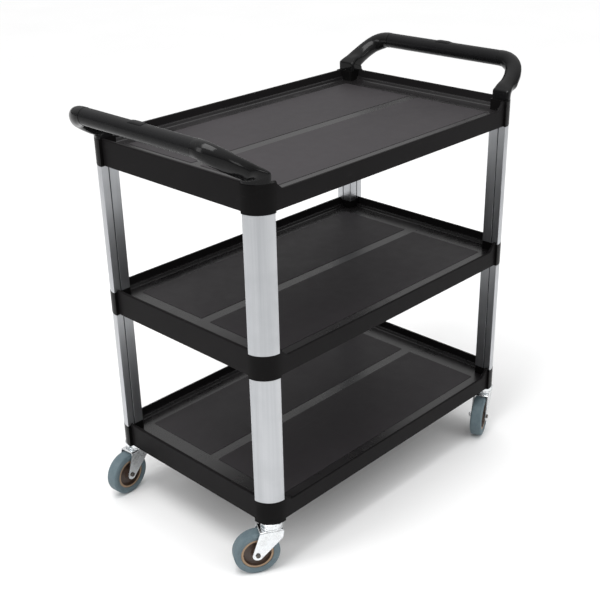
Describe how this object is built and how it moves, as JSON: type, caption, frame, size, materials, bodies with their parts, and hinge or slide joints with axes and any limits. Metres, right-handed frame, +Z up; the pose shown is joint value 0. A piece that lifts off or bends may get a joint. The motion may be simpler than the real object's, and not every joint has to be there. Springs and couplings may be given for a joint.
{
  "type": "food service trolley",
  "caption": "Three-shelf service trolley: raised-lip trays open along one long side, quarter-round metal uprights, arched push handles at both ends, swivel casters.",
  "frame": {"origin": "on the floor, under the middle of the overall box", "axes": "+X along the trolley towards the right-hand handle, +Y across it towards the closed long side (the open side faces -Y), +Z up"},
  "size_m": [0.9794, 0.5544, 0.9612],
  "materials": {
    "tray_plastic": "satin moulded, fine texture on the deck panels",
    "handle_plastic": "glossy moulded",
    "grip_plastic": "semi-gloss, fine grain",
    "upright_aluminium": "satin anodised extrusion",
    "zinc_steel": "bright zinc plate",
    "tyre_rubber": "matte grey-blue non-marking rubber",
    "hub_plastic": "dark brown moulded",
    "socket_plastic": "plain moulded"
  },
  "bodies": {
    "frame": {"top_tray": "tray_plastic", "middle_tray": "tray_plastic", "bottom_tray": "tray_plastic", "upright_upper_front_left": "upright_aluminium", "upright_lower_front_left": "upright_aluminium", "caster_socket_front_left": "socket_plastic", "caster_stem_front_left": "zinc_steel", "upright_upper_back_left": "upright_aluminium", "upright_lower_back_left": "upright_aluminium", "caster_socket_back_left": "socket_plastic", "caster_stem_back_left": "zinc_steel", "upright_upper_back_right": "upright_aluminium", "upright_lower_back_right": "upright_aluminium", "caster_socket_back_right": "socket_plastic", "caster_stem_back_right": "zinc_steel", "upright_upper_front_right": "upright_aluminium", "upright_lower_front_right": "upright_aluminium", "caster_socket_front_right": "socket_plastic", "caster_stem_front_right": "zinc_steel", "handle_left": "handle_plastic", "grip_left": "grip_plastic", "grip_tab_left": "handle_plastic", "handle_right": "handle_plastic", "grip_right": "grip_plastic", "grip_tab_right": "handle_plastic"},
    "swivel_front_left": {"caster_fork_front_left": "zinc_steel", "caster_race_front_left": "zinc_steel", "caster_axle_front_left": "zinc_steel", "caster_nut_front_left": "zinc_steel"},
    "wheel_front_left": {"caster_hub_front_left": "hub_plastic", "caster_tyre_front_left": "tyre_rubber"},
    "swivel_back_left": {"caster_fork_back_left": "zinc_steel", "caster_race_back_left": "zinc_steel", "caster_axle_back_left": "zinc_steel", "caster_nut_back_left": "zinc_steel"},
    "wheel_back_left": {"caster_hub_back_left": "hub_plastic", "caster_tyre_back_left": "tyre_rubber"},
    "swivel_back_right": {"caster_fork_back_right": "zinc_steel", "caster_race_back_right": "zinc_steel", "caster_axle_back_right": "zinc_steel", "caster_nut_back_right": "zinc_steel"},
    "wheel_back_right": {"caster_hub_back_right": "hub_plastic", "caster_tyre_back_right": "tyre_rubber"},
    "swivel_front_right": {"caster_fork_front_right": "zinc_steel", "caster_race_front_right": "zinc_steel", "caster_axle_front_right": "zinc_steel", "caster_nut_front_right": "zinc_steel"},
    "wheel_front_right": {"caster_hub_front_right": "hub_plastic", "caster_tyre_front_right": "tyre_rubber"}
  },
  "joints": [
    {"name": "swivel_turn_front_left", "type": "hinge", "parent": "frame", "child": "swivel_front_left", "pos_m": [-0.3855, -0.231, 0.11], "axis": [0, 0, 1], "continuous": true},
    {"name": "wheel_spin_front_left", "type": "hinge", "parent": "swivel_front_left", "child": "wheel_front_left", "pos_m": [-0.41593, -0.21272, 0.0508], "axis": [-0.515, -0.8572, 0], "continuous": true},
    {"name": "swivel_turn_back_left", "type": "hinge", "parent": "frame", "child": "swivel_back_left", "pos_m": [-0.3855, 0.231, 0.11], "axis": [0, 0, 1], "continuous": true},
    {"name": "wheel_spin_back_left", "type": "hinge", "parent": "swivel_back_left", "child": "wheel_back_left", "pos_m": [-0.42086, 0.22791, 0.0508], "axis": [0.0872, -0.9962, 0], "continuous": true},
    {"name": "swivel_turn_back_right", "type": "hinge", "parent": "frame", "child": "swivel_back_right", "pos_m": [0.3855, 0.231, 0.11], "axis": [0, 0, 1], "continuous": true},
    {"name": "wheel_spin_back_right", "type": "hinge", "parent": "swivel_back_right", "child": "wheel_back_right", "pos_m": [0.35307, 0.24544, 0.0508], "axis": [-0.4067, -0.9135, 0], "continuous": true},
    {"name": "swivel_turn_front_right", "type": "hinge", "parent": "frame", "child": "swivel_front_right", "pos_m": [0.3855, -0.231, 0.11], "axis": [0, 0, 1], "continuous": true},
    {"name": "wheel_spin_front_right", "type": "hinge", "parent": "swivel_front_right", "child": "wheel_front_right", "pos_m": [0.35307, -0.24544, 0.0508], "axis": [0.4067, -0.9135, 0], "continuous": true}
  ]
}
